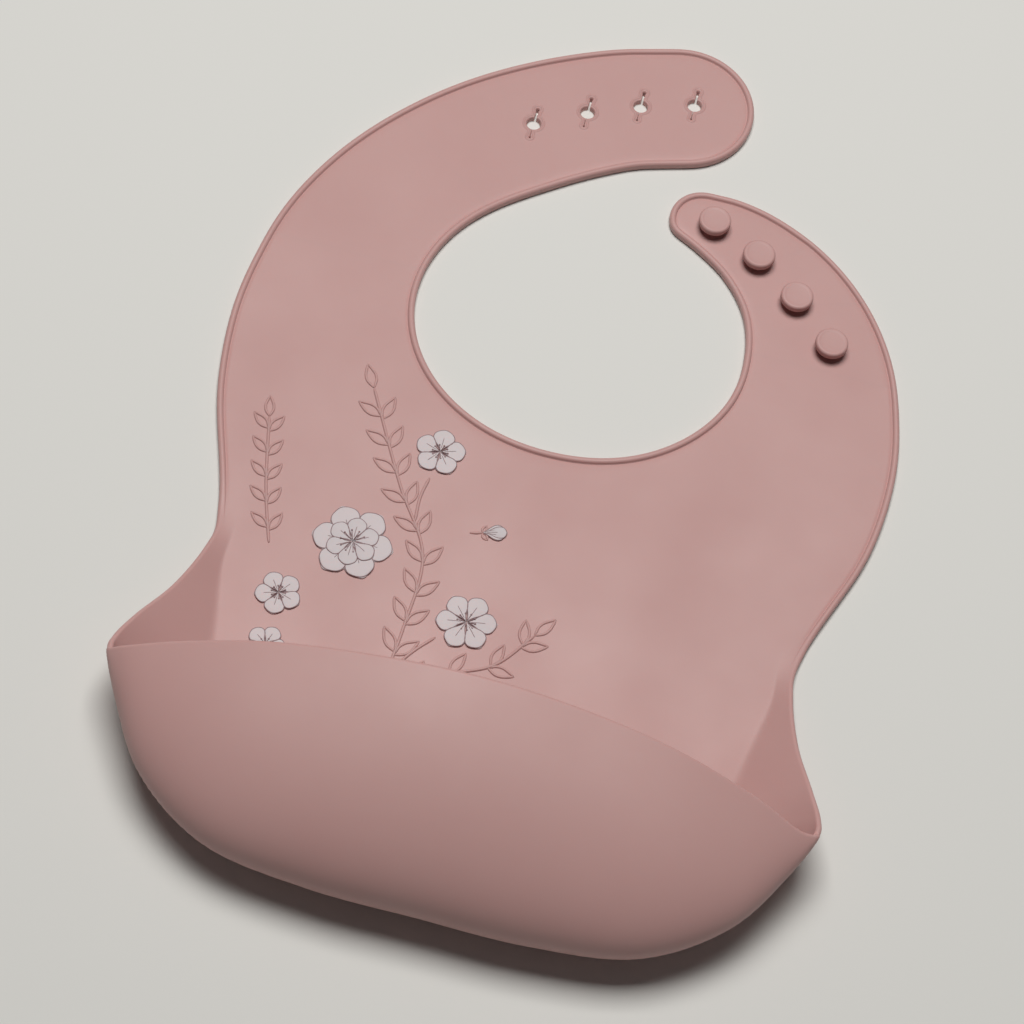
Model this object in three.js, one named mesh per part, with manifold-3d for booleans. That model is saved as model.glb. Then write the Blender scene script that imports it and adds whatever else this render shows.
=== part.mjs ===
// Silicone bib with a scoop pocket, two neck straps and a stud-and-keyhole closure.
// Millimetres, +Z up. The bib lies on its back: X across, +Y towards the neck, Z out of the front.
// The origin is the middle of its outline, on the surface that it lies on.
import * as THREE from "three";
import { mergeVertices } from "three/addons/utils/BufferGeometryUtils.js";
import Module from "manifold-3d";

const wasm = await Module();
wasm.setup();

// ---- Driving dimensions ---------------------------------------------------------------------

const SHEET = 1.8; // thickness of the moulded sheet
const BEAD_WIDTH = 2.4; // raised bead round the neck, straps and shoulders
const BEAD_TOP = 2.7; // from the back face to the top of the bead
const CUT = 0.3; // gap between neighbouring sub-parts
const HINGE_GAP = SHEET / 2 + CUT; // how far a fixed edge stays from a bend line
const BEAD_BREAK = 2.2; // how far the bead stops short of a bend line
const ROUND_SHORT = 1; // how far a bend's round edge stops short of the strap's sides
const ROUND_INSET = 0.05;
const WAIST = -50; // the chest panel's narrowest line, where the pocket's wings begin
const BEAD_END = -47; // the bead fades out here, just above the waist

const NECK = new THREE.Vector2(0, 48.4); // centre of the neck opening

// The neck opening's and the straps' edges, about the neck centre, as [angle in degrees, radius].
const NECK_EDGE = [
  [0, 50.5],
  [-18, 52],
  [-38, 52.5],
  [-62, 52.1],
  [-90, 51.2],
  [-118, 52],
  [-142, 52.3],
  [-162, 51.8],
  [-180, 50.5],
];
const HOLE_STRAP = {
  outer: [[180, 99.8], [160, 94.2], [140, 91.3], [120, 92], [106, 95.5], [94, 100.5]],
  inner: [[180, 50.5], [160, 47.8], [140, 45.4], [120, 45.5], [100, 50.8], [82, 59]],
  end: { centre: [13, 131.6], radius: 22.3, from: 106, to: -76 },
  bends: [158, 128, 96],
  names: ["hole_strap_shoulder", "hole_strap_middle", "hole_strap_end"],
};
const STUD_STRAP = {
  outer: [[0, 97.9], [15, 89.6], [30, 80.7], [45, 71.5], [57, 63.9]],
  inner: [[0, 50.5], [15, 48.8], [30, 46], [45, 43], [59, 41.2]],
  end: { centre: [28.4, 91], radius: 10.8, from: 80, to: 216 },
  bends: [11.4, 25.7, 42.6],
  names: ["stud_strap_shoulder", "stud_strap_middle", "stud_strap_end"],
};

// Sides of the bib from each strap's foot down to the waist.
const HOLE_SIDE = [[-102.3, 22], [-98.3, -10], [-90.5, -33], [-85.6, WAIST]];
const STUD_SIDE = [[102.4, 22], [99.5, -10], [91, -33], [85.6, WAIST]];

const KEYHOLES = [[-31.1, 111.5], [-15.7, 120.7], [0, 128], [16.5, 133.5]];
// A hole's radius, the reach of its two slits and their direction, and half a slit's width.
const KEYHOLE = { radius: 2.25, reach: 5.9, along: 90, slit: 0.25 };
const STUDS = [[75, 56.6], [61.6, 70], [47.4, 81.5], [31.7, 89.8]];
const STUD = { stem: 2.5, neck: 2.2, cap: 5, top: 4.6, rim: 0.25, dish: 3.8 };

// The scoop pocket is a loft through stations from the waist to the middle of the mouth. Each has
// its root, where the flat front turns up, its belly, the outermost line, and its free rim.
// Up the wings the belly is the rim. Roots are [x, y] and the others are [x, y, z].
const WING = [
  { root: [77, WAIST - CUT], rim: [85.6, WAIST - CUT, 1.6] },
  { root: [77, -64], rim: [86.2, -62, 3.7] },
  { root: [74.8, -80], rim: [90.3, -78, 9] },
  { root: [71.5, -95], rim: [96, -92.6, 15.6] },
  { root: [68, -105], rim: [98.9, -101.6, 19.4] },
  { root: [65.5, -109], rim: [98.9, -106.3, 21.2] },
];
const FRONT = [
  { root: [58, -119], belly: [92, -120, 18.5], lip: [94.2, -107.4, 24.4] },
  { root: [48, -127], belly: [80.9, -136.2, 16.5], lip: [80, -104, 30] },
  { root: [36, -131.5], belly: [60, -149.7, 15.2], lip: [56, -99.7, 36.5] },
  { root: [20, -133.5], belly: [30, -154.2, 15], lip: [28, -97, 40.6] },
  { root: [0, -134], belly: [0, -154.4, 15], lip: [0, -96, 42] },
];
const LIP_ARC = THREE.MathUtils.degToRad(76); // arc of the front wall between belly and lip
const WING_BEND = 0.3; // share of a wing's width that bends up off the flat
const POCKET_STEPS = 4; // loft steps between stations
const FRONT_START = 5.3; // station where the moving front wall begins, just past the corner

const BLOOMS = [
  { name: "bloom_large", at: [-46.4, -48.3], radius: 12.4, petals: 5, turn: 20 },
  { name: "bloom_upper", at: [-29.7, -12], radius: 8.4, petals: 4, turn: 60 },
  { name: "bloom_left", at: [-62.4, -68.6], radius: 6.8, petals: 4, turn: 90 },
  { name: "bloom_lower", at: [-8.3, -63], radius: 9.4, petals: 5, turn: -30 },
  { name: "bloom_lip", at: [-61.5, -85], radius: 6, petals: 4, turn: 75 },
  { name: "bud_loose", at: [-8.1, -33.1], radius: 4.6, petals: 3, turn: 10 },
];
const INLAY = 0.5; // how far the pale petals stand above the sheet
const SPRIGS = [
  { name: "sprig_tall", stem: [[-27, -90], [-25.5, -70], [-26, -46], [-38, -26], [-54, 4]], pairs: 6 },
  { name: "sprig_left", stem: [[-69.5, -54], [-75, -38], [-81, -14]], pairs: 4 },
  { name: "sprig_right", stem: [[-25, -88], [-10, -80], [2, -74], [11, -62]], pairs: 3 },
];
const LEAF = { length: 7, width: 2.4, angle: 42, foot: 0.012, stem: 1.1, height: 0.5 };

const SILICONE = new THREE.MeshStandardMaterial({ color: 0xc19a95, roughness: 0.62, metalness: 0 });
const PALE = new THREE.MeshStandardMaterial({ color: 0xd9cccb, roughness: 0.66, metalness: 0 });

// ---- Solids -----------------------------------------------------------------------------------

// A closed three.js geometry as a solid for cutting and joining.
function solidOf(geometry) {
  const bare = new THREE.BufferGeometry().setAttribute("position", geometry.getAttribute("position"));
  bare.setIndex(geometry.index);
  const merged = mergeVertices(bare, 1e-4);
  return new wasm.Manifold(
    new wasm.Mesh({
      numProp: 3,
      vertProperties: merged.attributes.position.array,
      triVerts: new Uint32Array(merged.index.array),
    }),
  );
}

// A solid as a named three.js mesh.
function meshOf(name, solid, material) {
  const cut = solid.getMesh();
  const geometry = new THREE.BufferGeometry();
  geometry.setAttribute("position", new THREE.BufferAttribute(cut.vertProperties, 3));
  geometry.setIndex(new THREE.BufferAttribute(cut.triVerts, 1));
  geometry.computeVertexNormals();
  const mesh = new THREE.Mesh(geometry, material);
  mesh.name = name;
  return mesh;
}

const vector = ([x, y, z = 0]) => new THREE.Vector3(x, y, z);

// A smooth curve through points, as a function of the point number.
function through(points) {
  const curve = new THREE.CatmullRomCurve3(points.map(vector));
  return (number) => curve.getPoint(number / (points.length - 1));
}

// Points along a smooth curve, with a number of steps between each two given points.
function trace(points, steps) {
  const curve = through(points);
  const count = (points.length - 1) * steps;
  return Array.from({ length: count + 1 }, (_, i) => curve(i / steps).toArray().slice(0, 2));
}

function polar([x, y], radius, degrees) {
  const angle = THREE.MathUtils.degToRad(degrees);
  return [x + radius * Math.cos(angle), y + radius * Math.sin(angle)];
}

function arc(centre, radius, from, to, steps) {
  const angleAt = (i) => from + ((to - from) * i) / steps;
  return Array.from({ length: steps + 1 }, (_, i) => polar(centre, radius, angleAt(i)));
}

// A flat slab of an outline, from one height to another.
function slab(outline, bottom, top, holes = []) {
  const shape = new THREE.Shape(outline.map(([x, y]) => new THREE.Vector2(x, y)));
  shape.holes = holes.map((hole) => new THREE.Path(hole.map(([x, y]) => new THREE.Vector2(x, y))));
  const geometry = new THREE.ExtrudeGeometry(shape, { depth: top - bottom, bevelEnabled: false });
  return solidOf(geometry.translate(0, 0, bottom));
}

// A raised bead along the inside of an open edge, which has the sheet on its left.
function beadAlong(edge) {
  const last = edge.length - 1;
  const inside = edge.map(([x, y], i) => {
    const before = edge[Math.max(0, i - 1)];
    const after = edge[Math.min(last, i + 1)];
    const along = new THREE.Vector2(after[0] - before[0], after[1] - before[1]).normalize();
    return [x - along.y * BEAD_WIDTH, y + along.x * BEAD_WIDTH];
  });
  return slab([...edge, ...inside.reverse()], SHEET / 2, BEAD_TOP);
}

// ---- Flat sheet: chest panel and straps ----------------------------------------------------------

// Everything past a bend line, or a band along it: 'from' and 'to' are distances past the line.
function pastBend(strap, degrees, from, to = 160) {
  const turn = strap === HOLE_STRAP ? -1 : 1; // the way that angles run along the strap
  const box = new THREE.BoxGeometry(115, to - from, 40);
  box.translate(77.5, (turn * (from + to)) / 2, 0);
  box.rotateZ(THREE.MathUtils.degToRad(degrees));
  box.translate(NECK.x, NECK.y, 0);
  return solidOf(box);
}

function strapEdge(pairs, steps = 5) {
  return trace(pairs, steps).map(([degrees, radius]) => polar(NECK.toArray(), radius, degrees));
}

function strapOutline(strap) {
  const end = arc(strap.end.centre, strap.end.radius, strap.end.from, strap.end.to, 16);
  const outline = [...strapEdge(strap.outer), ...end, ...strapEdge(strap.inner).reverse()];
  return strap === HOLE_STRAP ? outline.reverse() : outline;
}

// A round hole with a slit above and below it.
function keyhole(centre) {
  const half = THREE.MathUtils.radToDeg(Math.asin(KEYHOLE.slit / KEYHOLE.radius));
  const slitTip = (degrees, side) => {
    const tip = polar(centre, KEYHOLE.reach, degrees);
    return polar(tip, KEYHOLE.slit, degrees + side * 90);
  };
  return [0, 180].flatMap((turn) => [
    slitTip(KEYHOLE.along + turn, -1),
    slitTip(KEYHOLE.along + turn, 1),
    ...arc(centre, KEYHOLE.radius, KEYHOLE.along + turn + half, KEYHOLE.along + turn + 180 - half, 8),
  ]);
}

// The moving end of a bend: a half-round edge along the bend line, a little short of the sheet's
// own edges and with its axis just inside the moving piece.
function roundEdge(strap, degrees) {
  const radiusAt = (pairs) => {
    const dense = trace(pairs, 40);
    return dense.reduce((a, b) => (Math.abs(b[0] - degrees) < Math.abs(a[0] - degrees) ? b : a))[1];
  };
  const inner = radiusAt(strap.inner) + ROUND_SHORT;
  const outer = radiusAt(strap.outer) - ROUND_SHORT;
  const turn = strap === HOLE_STRAP ? -1 : 1;
  const round = new THREE.CylinderGeometry(SHEET / 2, SHEET / 2, outer - inner, 12);
  round.rotateY(Math.PI / 12).rotateZ(Math.PI / 2);
  round.translate((inner + outer) / 2, turn * ROUND_INSET, SHEET / 2);
  round.rotateZ(THREE.MathUtils.degToRad(degrees)).translate(NECK.x, NECK.y, 0);
  return solidOf(round);
}

// A strap's moving pieces, from the shoulder to the tip.
function strapPieces(strap, holes) {
  const outline = strapOutline(strap);
  const bead = strap.bends.reduce(
    (rest, degrees) => rest.subtract(pastBend(strap, degrees, -BEAD_BREAK, BEAD_BREAK)),
    beadAlong(outline),
  );
  const whole = slab(outline, 0, SHEET, holes).add(bead);
  return strap.names.map((name, i) => {
    const beyond = whole.intersect(pastBend(strap, strap.bends[i], 0));
    const next = strap.bends[i + 1];
    const piece = next === undefined ? beyond : beyond.subtract(pastBend(strap, next, -HINGE_GAP));
    return meshOf(name, piece.add(roundEdge(strap, strap.bends[i])), SILICONE);
  });
}

function chestPanel() {
  const neck = strapEdge(NECK_EDGE).slice(1, -1);
  const holeFoot = HOLE_STRAP.outer[0];
  const studFoot = STUD_STRAP.outer[0];
  const shoulder = (pairs) => strapEdge(pairs).filter((_, i) => i < 9);
  const studSide = trace([polar(NECK.toArray(), studFoot[1], 0), ...STUD_SIDE], 5);
  const holeSide = trace([polar(NECK.toArray(), holeFoot[1], 180), ...HOLE_SIDE], 5);
  const roots = loft.filter((_, i) => i % POCKET_STEPS === 0).map((station) => station.root);
  const studEdge = [...studSide.slice(1).reverse(), ...shoulder(STUD_STRAP.outer)];
  const neckEdge = [
    ...shoulder(STUD_STRAP.inner).reverse(),
    ...neck,
    ...shoulder(HOLE_STRAP.inner),
  ];
  const holeEdge = [...shoulder(HOLE_STRAP.outer).reverse(), ...holeSide.slice(1)];
  const foot = WING[0].root[0];
  const pocketEdge = [[-foot, WAIST], ...roots.slice(1, -1).map(({ x, y }) => [x, y]), [foot, WAIST]];
  const outline = [...studEdge, ...neckEdge, ...holeEdge, ...pocketEdge];
  const below = new THREE.BoxGeometry(300, 300, 40).translate(0, BEAD_END - 150, 0);
  let bead = beadAlong(studEdge).add(beadAlong(neckEdge)).add(beadAlong(holeEdge));
  bead = bead.subtract(solidOf(below));
  let panel = slab(outline, 0, SHEET);
  for (const strap of [HOLE_STRAP, STUD_STRAP]) {
    bead = bead.subtract(pastBend(strap, strap.bends[0], -BEAD_BREAK));
    panel = panel.subtract(pastBend(strap, strap.bends[0], -HINGE_GAP));
  }
  return meshOf("chest_panel", panel.add(bead), SILICONE);
}

function stud(centre, number) {
  const profile = [
    [0, 0],
    [STUD.stem, 0],
    [STUD.stem, STUD.neck],
    [STUD.cap - 0.7, STUD.neck],
    [STUD.cap, STUD.neck + 0.7],
    [STUD.cap, STUD.top - 0.8],
    [STUD.cap - 0.3, STUD.top - 0.2],
    [STUD.cap - 0.8, STUD.top],
    [STUD.dish, STUD.top],
    [STUD.dish - 0.4, STUD.top - STUD.rim],
    [0, STUD.top - STUD.rim],
  ];
  const geometry = new THREE.LatheGeometry(profile.map(([r, z]) => new THREE.Vector2(r, z)), 24);
  geometry.rotateX(Math.PI / 2).translate(centre[0], centre[1], SHEET);
  return meshOf(`stud_${number}`, solidOf(geometry), SILICONE);
}

// ---- Scoop pocket -----------------------------------------------------------------------------------

// The loft's root, belly and lip at fine steps from the left waist, round the mouth, to the right.
function loftStations() {
  const wing = WING.map(({ root, rim }) => ({ root, belly: rim, lip: rim }));
  const half = [...wing, ...FRONT];
  const mirror = ([x, ...rest]) => [-x, ...rest];
  const curveOf = (line) => {
    const points = half.map((station) => station[line]);
    return through([...points.map(mirror), ...points.slice(0, -1).reverse()]);
  };
  const [root, belly, lip] = ["root", "belly", "lip"].map(curveOf);
  const count = 2 * (half.length - 1) * POCKET_STEPS;
  return Array.from({ length: count + 1 }, (_, i) => {
    const number = i / POCKET_STEPS;
    return { number, root: root(number).setZ(SHEET / 2), belly: belly(number), lip: lip(number) };
  });
}
const loft = loftStations();

// How far a station is from the nearer waist, in station numbers.
const fromWaist = (number) => Math.min(number, loft.at(-1).number - number);

// A wing's rise: a short bend, then a straight flank.
function flank(share) {
  const straight = 1 - WING_BEND / 2;
  if (share > WING_BEND) return (share - WING_BEND / 2) / straight;
  return share ** 2 / (2 * WING_BEND * straight);
}

// From root to belly: a bent flank up the wings, and a round bottom along the front.
function lowerPoint(station, share) {
  const round = THREE.MathUtils.smoothstep(fromWaist(station.number), 2.2, WING.length);
  const angle = (share * Math.PI) / 2;
  const out = THREE.MathUtils.lerp(share, Math.sin(angle), round);
  const up = THREE.MathUtils.lerp(flank(share), 1 - Math.cos(angle), round);
  const point = station.root.clone().lerp(station.belly, out);
  return point.setZ(THREE.MathUtils.lerp(station.root.z, station.belly.z, up));
}

// From belly to lip: the front wall, which leans back over the chest panel.
function upperPoint(station, share) {
  const angle = share * LIP_ARC;
  const back = (1 - Math.cos(angle)) / (1 - Math.cos(LIP_ARC));
  const point = station.belly.clone().lerp(station.lip, back);
  const up = Math.sin(angle) / Math.sin(LIP_ARC);
  return point.setZ(THREE.MathUtils.lerp(station.belly.z, station.lip.z, up));
}

// A closed shell of the sheet's thickness about a grid of points, rows[station][share].
function shell(rows) {
  const columns = rows[0].length;
  const clamp = THREE.MathUtils.clamp;
  const at = (i, j) => rows[clamp(i, 0, rows.length - 1)][clamp(j, 0, columns - 1)];
  const positions = [];
  for (const side of [1, -1]) {
    rows.forEach((row, i) =>
      row.forEach((point, j) => {
        const along = at(i + 1, j).clone().sub(at(i - 1, j));
        const up = at(i, j + 1).clone().sub(at(i, j - 1));
        const normal = along.cross(up).normalize();
        positions.push(...point.clone().addScaledVector(normal, (side * SHEET) / 2).toArray());
      }),
    );
  }
  const indices = [];
  const back = rows.length * columns;
  const quad = (a, b, c, d) => indices.push(a, b, c, a, c, d);
  for (let i = 0; i < rows.length - 1; i += 1) {
    for (let j = 0; j < columns - 1; j += 1) {
      const a = i * columns + j;
      quad(a, a + columns, a + columns + 1, a + 1);
      quad(back + a, back + a + 1, back + a + columns + 1, back + a + columns);
    }
  }
  const rim = [];
  for (let i = 0; i < rows.length - 1; i += 1) rim.push(i * columns);
  for (let j = 0; j < columns - 1; j += 1) rim.push((rows.length - 1) * columns + j);
  for (let i = rows.length - 1; i > 0; i -= 1) rim.push(i * columns + columns - 1);
  for (let j = columns - 1; j > 0; j -= 1) rim.push(j);
  rim.forEach((a, k) => {
    const b = rim[(k + 1) % rim.length];
    quad(a, back + a, back + b, b);
  });
  const geometry = new THREE.BufferGeometry();
  geometry.setAttribute("position", new THREE.Float32BufferAttribute(positions, 3));
  return geometry.setIndex(indices);
}

// Shares of the way along a line, leaving out a gap at either end.
function shares(steps, line, gapStart, gapEnd) {
  const length = line(0).distanceTo(line(0.5)) + line(0.5).distanceTo(line(1));
  const start = gapStart / length;
  const end = 1 - gapEnd / length;
  return Array.from({ length: steps + 1 }, (_, j) => start + ((end - start) * j) / steps);
}

function pocketPart(name, stations, pointOn, steps, gapStart, gapEnd) {
  const rows = stations.map((station) => {
    const line = (share) => pointOn(station, share);
    return shares(steps, line, gapStart, gapEnd).map(line);
  });
  return meshOf(name, solidOf(shell(rows)), SILICONE);
}

function pocketParts() {
  const corner = WING.length - 1;
  const left = loft.filter(({ number }) => number < corner);
  const right = loft.filter(({ number }) => number > loft.at(-1).number - corner);
  const bottom = loft.filter(({ number }) => fromWaist(number) >= corner);
  const front = loft.filter(({ number }) => fromWaist(number) > FRONT_START);
  return [
    pocketPart("pocket_wing_left", left, lowerPoint, 6, CUT, 0),
    pocketPart("pocket_wing_right", right, lowerPoint, 6, CUT, 0),
    pocketPart("pocket_base", bottom, lowerPoint, 7, CUT, CUT),
    pocketPart("pocket_front", front, upperPoint, 9, 2 * CUT, 0),
  ];
}

// ---- Raised decoration ---------------------------------------------------------------------------

function bloom({ name, at, radius, petals, turn }) {
  const steps = petals * 8;
  const outline = Array.from({ length: steps }, (_, i) => {
    const degrees = (i * 360) / steps;
    const wave = Math.cos(THREE.MathUtils.degToRad((degrees - turn) * petals));
    return polar(at, radius * (0.86 + 0.14 * wave), degrees);
  });
  return meshOf(name, slab(outline, SHEET, SHEET + INLAY), PALE);
}

// A stem with pairs of leaves, as one outline: up its right side, leaf by leaf, and down its left.
function sprig({ name, stem, pairs }) {
  const line = through(stem);
  const length = stem.length - 1;
  const heading = (share) => {
    const step = line((share + 0.01) * length).sub(line((share - 0.01) * length));
    return THREE.MathUtils.radToDeg(Math.atan2(step.y, step.x));
  };
  const edge = (share, way) =>
    polar(line(share * length).toArray(), LEAF.stem / 2, heading(share) + way * 90);
  const leaf = (share, way) => {
    const root = line(share * length).toArray();
    const degrees = heading(share) + way * LEAF.angle;
    const bulge = (side) =>
      polar(polar(root, LEAF.length * 0.5, degrees), LEAF.width / 2, degrees + side * way * 90);
    const tip = polar(root, LEAF.length, degrees);
    const lower = trace([edge(share - LEAF.foot, way), bulge(1), tip], 3);
    const upper = trace([tip, bulge(-1), edge(share + LEAF.foot, way)], 3);
    return [...lower, ...upper.slice(1)];
  };
  const side = (way) => {
    const spacing = 1 / (pairs + 0.6);
    const leaves = Array.from({ length: pairs }, (_, i) => [
      edge((i + 0.5) * spacing, way),
      ...leaf((i + 1) * spacing, way),
    ]);
    return [edge(0.01, way), ...leaves.flat(), edge(0.99, way)];
  };
  const outline = [...side(-1), ...side(1).reverse()];
  return meshOf(name, slab(outline, SHEET, SHEET + LEAF.height), SILICONE);
}

// ---- The bib -------------------------------------------------------------------------------------------

const bib = new THREE.Group();
bib.add(chestPanel());
bib.add(...strapPieces(HOLE_STRAP, KEYHOLES.map(keyhole)));
bib.add(...strapPieces(STUD_STRAP, []));
bib.add(...STUDS.map((centre, i) => stud(centre, STUDS.length - i)));
bib.add(...pocketParts());
bib.add(...BLOOMS.map(bloom));
bib.add(...SPRIGS.map(sprig));

export default bib;
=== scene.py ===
"""Looks of the silicone bib: one matte pink moulding with a beaded edge, a scoop pocket, keyholes,
mushroom studs, plain ribbed sprigs and pale inlaid flowers. Shapes are worked out in millimetres."""
import math
import bpy
import numpy as np
from mathutils import Matrix, Vector
from mathutils.geometry import delaunay_2d_cdt


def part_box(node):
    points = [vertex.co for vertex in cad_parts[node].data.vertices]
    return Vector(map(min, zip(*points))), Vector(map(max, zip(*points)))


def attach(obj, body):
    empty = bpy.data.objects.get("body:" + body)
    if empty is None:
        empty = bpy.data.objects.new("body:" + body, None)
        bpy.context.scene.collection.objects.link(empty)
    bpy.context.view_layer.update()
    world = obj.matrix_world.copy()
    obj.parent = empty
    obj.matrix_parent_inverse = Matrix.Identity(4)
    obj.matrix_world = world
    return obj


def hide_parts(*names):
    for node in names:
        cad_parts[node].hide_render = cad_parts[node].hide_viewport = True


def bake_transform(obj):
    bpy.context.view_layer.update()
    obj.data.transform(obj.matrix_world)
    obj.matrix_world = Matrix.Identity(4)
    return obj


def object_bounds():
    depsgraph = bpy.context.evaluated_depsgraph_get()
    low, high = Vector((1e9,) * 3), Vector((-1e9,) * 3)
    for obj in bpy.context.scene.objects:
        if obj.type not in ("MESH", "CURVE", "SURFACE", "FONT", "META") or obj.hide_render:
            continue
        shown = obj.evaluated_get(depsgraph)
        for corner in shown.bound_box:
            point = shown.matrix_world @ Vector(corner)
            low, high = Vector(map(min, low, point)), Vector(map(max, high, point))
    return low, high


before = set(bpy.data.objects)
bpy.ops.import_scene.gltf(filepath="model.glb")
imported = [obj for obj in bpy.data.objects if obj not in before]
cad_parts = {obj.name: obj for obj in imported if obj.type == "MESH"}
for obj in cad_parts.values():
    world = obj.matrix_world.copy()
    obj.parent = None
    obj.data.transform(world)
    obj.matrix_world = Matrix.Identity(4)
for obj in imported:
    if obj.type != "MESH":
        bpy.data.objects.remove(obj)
CAD_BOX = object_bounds()
MM = 0.001

# ---- Sizes, in millimetres -----------------------------------------------------------------------


def box_mm(node):
    low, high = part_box(node)
    return np.array(low) / MM, np.array(high) / MM


def middle(node):
    low, high = box_mm(node)
    return (low + high) / 2


SHEET = box_mm("bloom_large")[0][2]
MID = SHEET / 2
NECK = np.array([0.0, 48.4])

# The bead round the edge: a cord of this radius, its crest this high, and the groove inside it.
CORD = 1.05
CREST = box_mm("hole_strap_end")[1][2]
GROOVE_AT = 2.0
GROOVE_DEPTH = 0.26
GROOVE_END = 2.75
DEPTHS = np.array([0, 0.03, 0.12, 0.28, 0.5, 0.78, 1.05, 1.35, 1.6, 1.8, 1.96, 2.03, 2.2, 2.45, 3.0])
UNDER_ROUND = 0.6

# Edges as (angle about the neck centre in degrees, radius), and each strap's round end.
NECK_EDGE = [
    (180, 50.5), (198, 52.2), (218, 52.6), (242, 52), (270, 51.2), (298, 52.3), (322, 52.7), (342, 52.5),
    (360, 50.5),
]
HOLE_STRAP = {
    "outer": [(180, 99.8), (160, 94.2), (140, 91.3), (120, 92.5), (106, 96.1), (94, 101.2)],
    "inner": [(180, 50.5), (160, 47.8), (140, 45.4), (120, 45.1), (100, 50.0), (82, 58.6)],
    "centre": (13.2, 131.9), "radius": 22.7, "turn": (106, -76),
    "side": [(102.3, 22), (98.3, -10), (90.5, -33), (85.8, -50), (86.4, -62)],
    "cuts": (180, 143, 121),
    "bodies": ("panel", "hole_strap_shoulder", "hole_strap_middle", "hole_strap_end"),
    "reach": (8.0, 5.2, 6.5),
}
STUD_STRAP = {
    "outer": [(0, 97.9), (15, 89.6), (30, 80.7), (45, 71.5), (57, 63.9)],
    "inner": [(0, 50.5), (15, 49.4), (30, 46.2), (45, 43), (59, 41.2)],
    "centre": (28.4, 91), "radius": 10.9, "turn": (80, 216),
    "side": [(102.4, 22), (99.5, -10), (91, -33), (85.4, -50), (86, -62)],
    "cuts": (0, 18.5, 34.1),
    "bodies": ("panel", "stud_strap_shoulder", "stud_strap_middle", "stud_strap_end"),
    "reach": (5.5, 5.5, 5.5),
}
KEYHOLES = [(-31.1, 111.5), (-15.7, 120.7), (0, 128), (16.5, 133.5)]

# Stations from a strap's foot down the side, up the wing and round to the middle of the mouth:
# root (x, y), where the flat front ends; belly (x, y, z), the outermost line; lip (x, y, z); and
# the number of rows to the next station. Down the side and up the wing the belly is the lip.
SIDE = [
    ((88, 48.4), (100, 48.4, MID), 11),
    ((90, 22), (102.4, 22, MID), 14),
    ((86.5, -10), (99, -10, MID), 10),
    ((80.5, -33), (91, -33, MID + 0.05), 8),
    ((79.5, -50), (85.4, -50, 1.5), 7),
    ((80.3, -63), (86, -62, 4.4), 8),
    ((76.6, -80), (89.7, -78, 9.6), 9),
    ((72.6, -95), (95.3, -92.6, 16), 8),
    ((68, -105), (98.5, -101.6, 19.4), 9),
    ((65.5, -109), (98.5, -106.4, 21.2), 14),
]
FRONT = [
    ((58, -119), (92, -120, 18.5), (94, -108.1, 23.7), 12),
    ((48, -127), (80.8, -136.2, 16.5), (80, -104.5, 29.5), 11),
    ((36, -131.5), (60, -149.7, 15.2), (56, -99.8, 36.3), 12),
    ((20, -133.5), (30, -154.2, 15), (28, -97, 40.6), 12),
    ((0, -134), (0, -154.4, 15), (0, -96, 42), 0),
]
# The left side is not quite the right one's mirror image: shifts by station, outwards, up and off.
LEFT_RIM = {5: (0.3, 0, 0), 6: (0.8, 0, 0), 7: (1.4, 0, 0), 8: (1.0, 0.2, 0), 9: (0.7, 0.5, 0.3)}
LEFT_LIP = {**LEFT_RIM, 10: (0.3, 1.9, 2.1), 11: (0, 1.2, 1.5), 12: (0, 0.5, 0.5)}
WING_BEND = 0.16  # share of a wing's width that bends up off the flat
WAIST_STATION = 4
CORNER_STATION = 9
LIP_ARC = math.radians(76)
BEAD_FADE = (-52, -30)  # the bead grows out of the plain rim between these heights on the side

# ---- Curves --------------------------------------------------------------------------------------


def through(points, numbers):
    """Points of a smooth (centripetal Catmull-Rom) curve, by point number."""
    points = np.asarray(points, float)
    last = len(points) - 1
    padded = np.vstack([2 * points[0] - points[1], points, 2 * points[-1] - points[-2]])
    numbers = np.clip(np.atleast_1d(numbers).astype(float), 0, last)
    first = np.minimum(numbers.astype(int), last - 1)
    share = (numbers - first)[:, None]
    p0, p1, p2, p3 = (padded[first + k] for k in range(4))
    d0, d1, d2 = (
        np.maximum(np.linalg.norm(b - a, axis=1) ** 0.5, 1e-4)[:, None]
        for a, b in ((p0, p1), (p1, p2), (p2, p3))
    )
    leave = ((p1 - p0) / d0 - (p2 - p0) / (d0 + d1) + (p2 - p1) / d1) * d1
    reach = ((p2 - p1) / d1 - (p3 - p1) / (d1 + d2) + (p3 - p2) / d2) * d1
    square, cube = share**2, share**3
    return (
        p1 * (2 * cube - 3 * square + 1)
        + leave * (cube - 2 * square + share)
        + p2 * (3 * square - 2 * cube)
        + reach * (cube - square)
    )


def smooth_line(points, steps=12):
    count = (len(points) - 1) * steps
    return through(points, np.arange(count + 1) / steps)


def polar(centre, radius, degrees):
    angle = np.radians(degrees)
    return np.stack([centre[0] + radius * np.cos(angle), centre[1] + radius * np.sin(angle)], -1)


def lengths_along(line):
    return np.concatenate([[0], np.cumsum(np.linalg.norm(np.diff(line, axis=0), axis=1))])


def resample(line, places):
    along = lengths_along(line)
    return np.stack([np.interp(places, along, line[:, k]) for k in range(line.shape[1])], -1)


def evenly(line, spacing):
    total = lengths_along(line)[-1]
    count = max(2, int(round(total / spacing)) + 1)
    return resample(line, np.linspace(0, total, count))


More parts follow.
